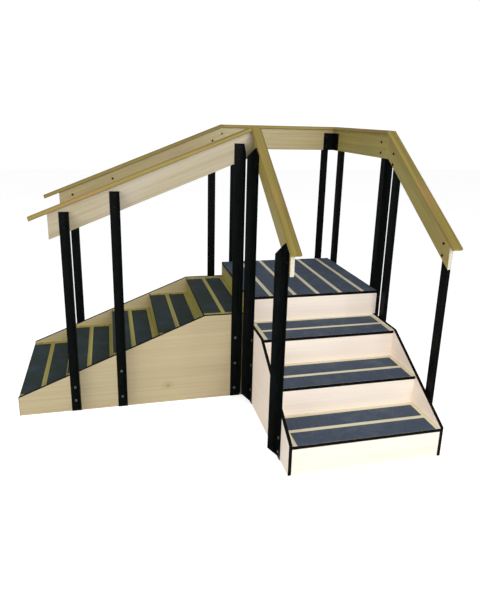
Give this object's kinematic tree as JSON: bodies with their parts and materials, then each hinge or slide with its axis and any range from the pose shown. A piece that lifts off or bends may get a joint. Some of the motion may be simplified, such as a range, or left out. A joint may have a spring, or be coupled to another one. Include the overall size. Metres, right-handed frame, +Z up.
{
  "type": "corner training stairs",
  "caption": "Exercise staircase with a square corner platform, a flight of low steps and a flight of high steps at right angles, black angle posts and wooden handrails.",
  "frame": {"origin": "middle of the footprint's bounding rectangle, at floor level", "axes": "+Z up; the flight of low steps climbs towards +X and the flight of high steps climbs towards +Y"},
  "size_m": [2.1148, 1.6448, 1.5396],
  "materials": {
    "birch_panel": "tan birch-faced board with a clear lacquer, fine lengthwise grain",
    "pale_panel": "very pale cream wood-grain laminate, satin",
    "rail_wood": "varnished beige-brown wood, satin",
    "rail_wood_shade": "varnished yellow-brown wood of a darker board, satin",
    "cap_wood": "varnished yellow-brown solid wood with a reddish grain, satin",
    "tread_wood": "yellow-brown varnished plywood",
    "softwood": "planed softwood, unfinished",
    "grip": "charcoal anti-slip sheet with fine mineral grit",
    "grip_low": "dark green-black anti-slip sheet with fine mineral grit",
    "black_edge": "black edge banding",
    "black_steel": "satin black powder coat",
    "zinc_steel": "zinc-plated, dull",
    "dark_steel": "blackened steel"
  },
  "bodies": {
    "root": {"box_bolts": "zinc_steel", "box_nuts": "zinc_steel", "high_back_panel": "pale_panel", "high_battens": "softwood", "high_front_posts": "black_steel", "high_grip_strips": "grip", "high_nosing_bands": "black_edge", "high_rear_posts": "black_steel", "high_risers": "pale_panel", "high_side_band_inner": "black_edge", "high_side_band_outer": "black_edge", "high_side_panel_inner": "pale_panel", "high_side_panel_outer": "pale_panel", "high_tread_1": "pale_panel", "high_tread_2": "pale_panel", "high_tread_3": "pale_panel", "low_back_panel": "birch_panel", "low_battens": "softwood", "low_front_posts": "black_steel", "low_grip_strips": "grip_low", "low_middle_posts": "black_steel", "low_nosing_bands": "black_edge", "low_rear_posts": "black_steel", "low_risers": "tread_wood", "low_side_band_far": "black_edge", "low_side_band_near": "black_edge", "low_side_panel_far": "birch_panel", "low_side_panel_near": "birch_panel", "low_tread_1": "tread_wood", "low_tread_2": "tread_wood", "low_tread_3": "tread_wood", "low_tread_4": "tread_wood", "low_tread_5": "tread_wood", "platform_battens": "softwood", "platform_deck": "pale_panel", "platform_edge_band": "black_edge", "platform_grip_strips": "grip", "platform_joists": "softwood", "platform_panel_front": "pale_panel", "platform_panel_left": "tread_wood", "platform_panel_rear": "pale_panel", "platform_panel_right": "pale_panel", "platform_posts": "black_steel", "rail_board_high_inner": "rail_wood_shade", "rail_board_high_outer": "rail_wood_shade", "rail_board_low_far": "rail_wood", "rail_board_low_near": "rail_wood", "rail_board_platform_rear": "rail_wood", "rail_board_platform_right": "rail_wood_shade", "rail_bolts": "zinc_steel", "rail_cap_high_inner": "cap_wood", "rail_cap_high_outer": "cap_wood", "rail_cap_low_far": "cap_wood", "rail_cap_low_near": "cap_wood", "rail_cap_nuts": "dark_steel", "rail_cap_platform_rear": "cap_wood", "rail_cap_platform_right": "cap_wood", "rail_corner_bracket": "black_steel", "rail_cross_nuts": "dark_steel", "rail_joint_screws": "zinc_steel"}
  },
  "joints": []
}
